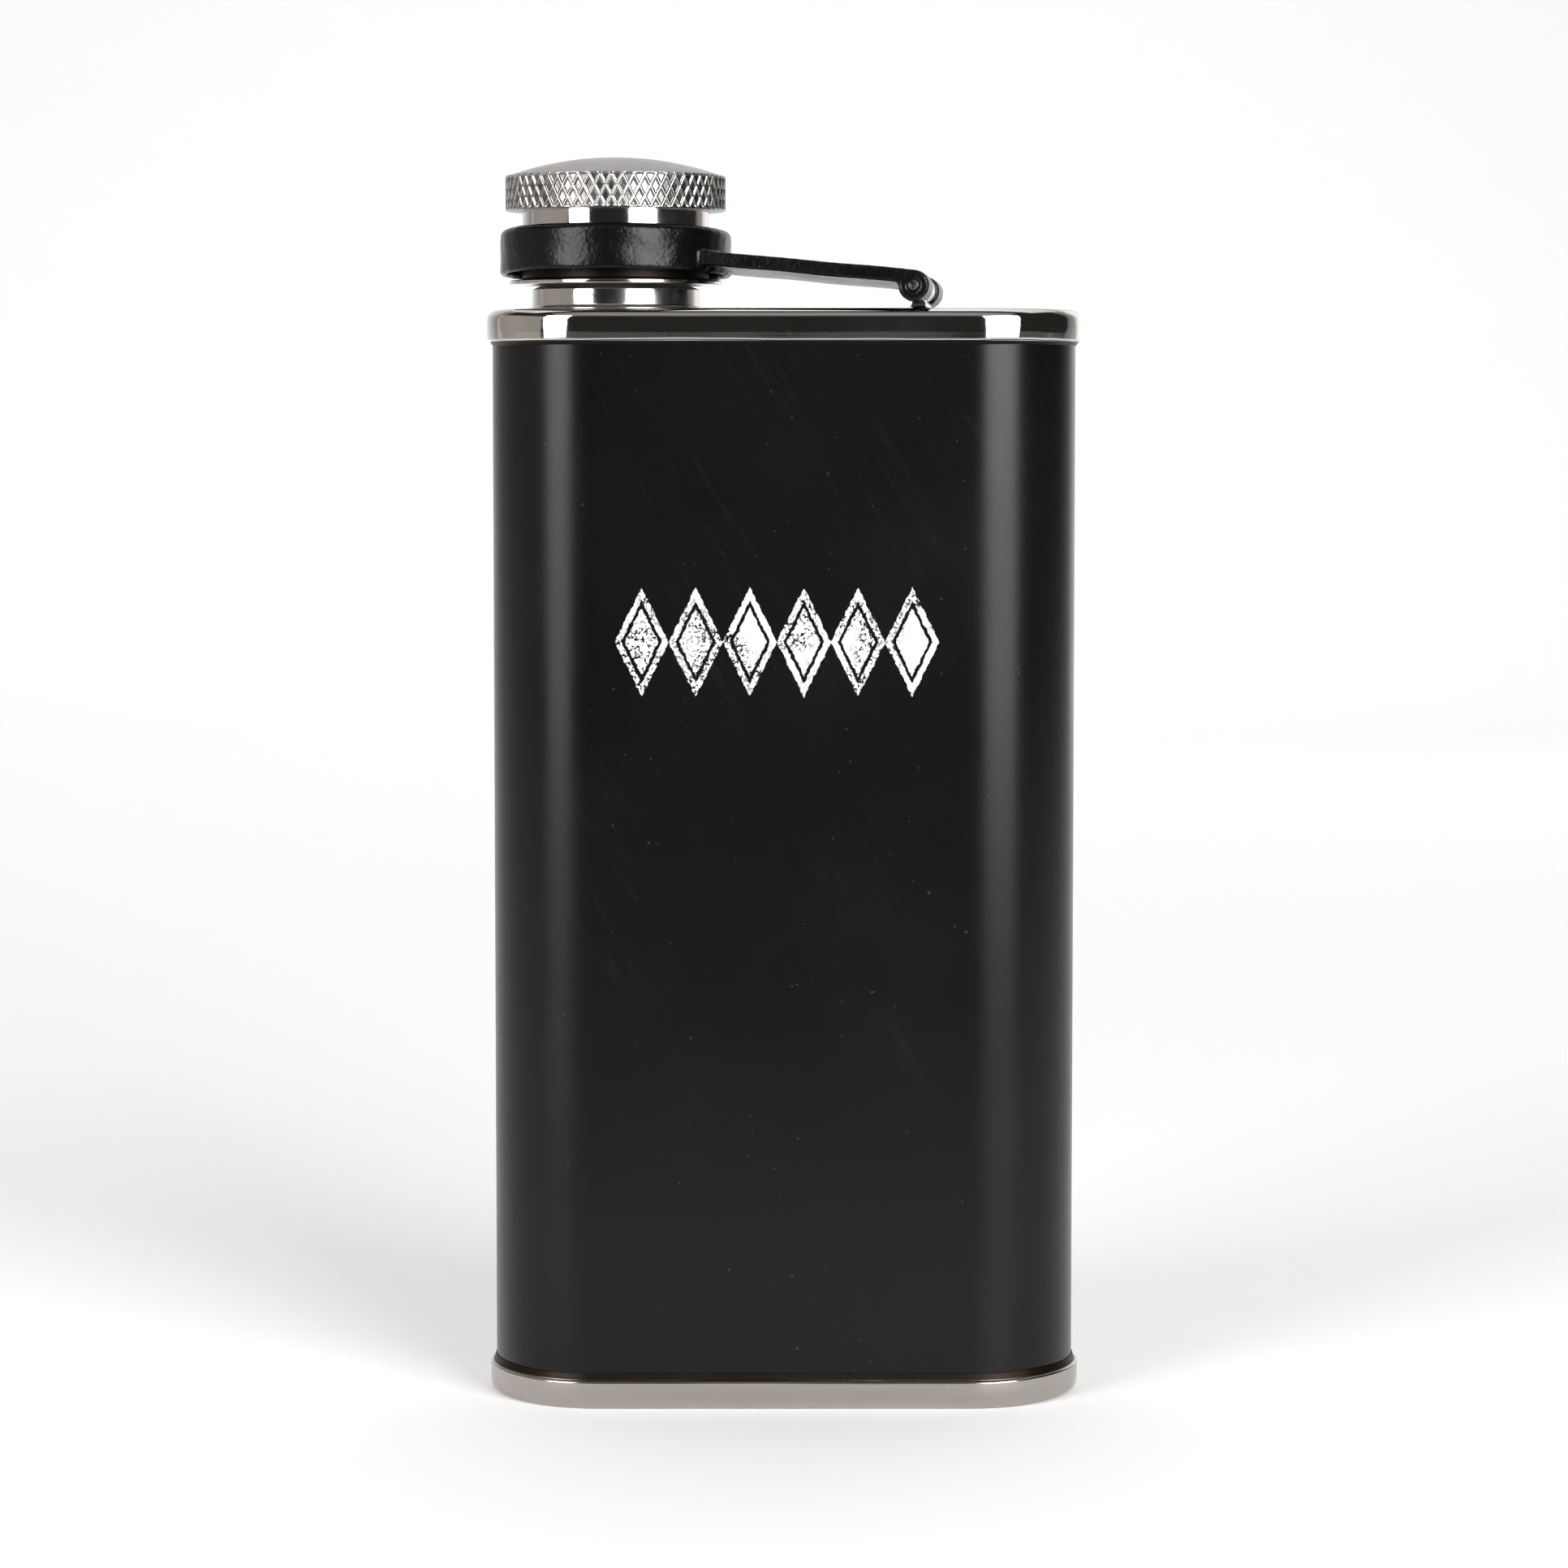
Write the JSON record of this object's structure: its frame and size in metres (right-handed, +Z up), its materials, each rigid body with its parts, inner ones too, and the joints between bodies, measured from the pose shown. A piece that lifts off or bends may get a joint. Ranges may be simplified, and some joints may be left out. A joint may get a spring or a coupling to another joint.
{
  "type": "hip flask",
  "caption": "Flat hip flask with a matte black body, polished steel end caps and a captive knurled screw cap on a hinged black collar arm.",
  "frame": {"origin": "centre of the flat underside", "axes": "+Z up along the flask, -Y the front face, +X from the neck towards the hinge"},
  "size_m": [0.068, 0.0264, 0.1416],
  "materials": {
    "body_paint": "matte black powder coat with a slight eggshell sheen",
    "polished_steel": "polished drawn stainless steel",
    "cap_steel": "satin crown, bright knurled rim, polished skirt",
    "neck_steel": "turned stainless steel, slightly grainy at the soldered base",
    "pin_steel": "plain drawn steel wire",
    "collar_enamel": "thick gloss black enamel with orange-peel texture",
    "insert_plastic": "moulded natural plastic",
    "seal_rubber": "soft food-grade silicone"
  },
  "bodies": {
    "flask": {"body_tube": "body_paint", "bottom_cap": "polished_steel", "top_cap": "polished_steel", "neck": "neck_steel", "hinge_bracket": "polished_steel"},
    "arm": {"collar_arm": "collar_enamel", "hinge_pin": "pin_steel"},
    "seal": {"cap_seal": "seal_rubber"},
    "cap": {"cap_shell": "cap_steel", "cap_insert": "insert_plastic"}
  },
  "joints": [
    {"name": "arm_swing", "type": "hinge", "parent": "flask", "child": "arm", "pos_m": [0.01547, -0.00524, 0.1265], "axis": [0.1442, 0.9886, -0.0436], "range_deg": [0, 160]},
    {"name": "cap_lift", "type": "slide", "parent": "arm", "child": "seal", "axis": [0, 0, 1], "range_m": [0, 0.0012]},
    {"name": "cap_turn", "type": "hinge", "parent": "seal", "child": "cap", "pos_m": [-0.0192, 0, 0.1271], "axis": [0, 0, 1], "range_deg": [0, 360]}
  ],
  "couplings": [
    {"joint": "cap_lift", "follows": "cap_turn", "m_per_rad": 0.00019}
  ]
}
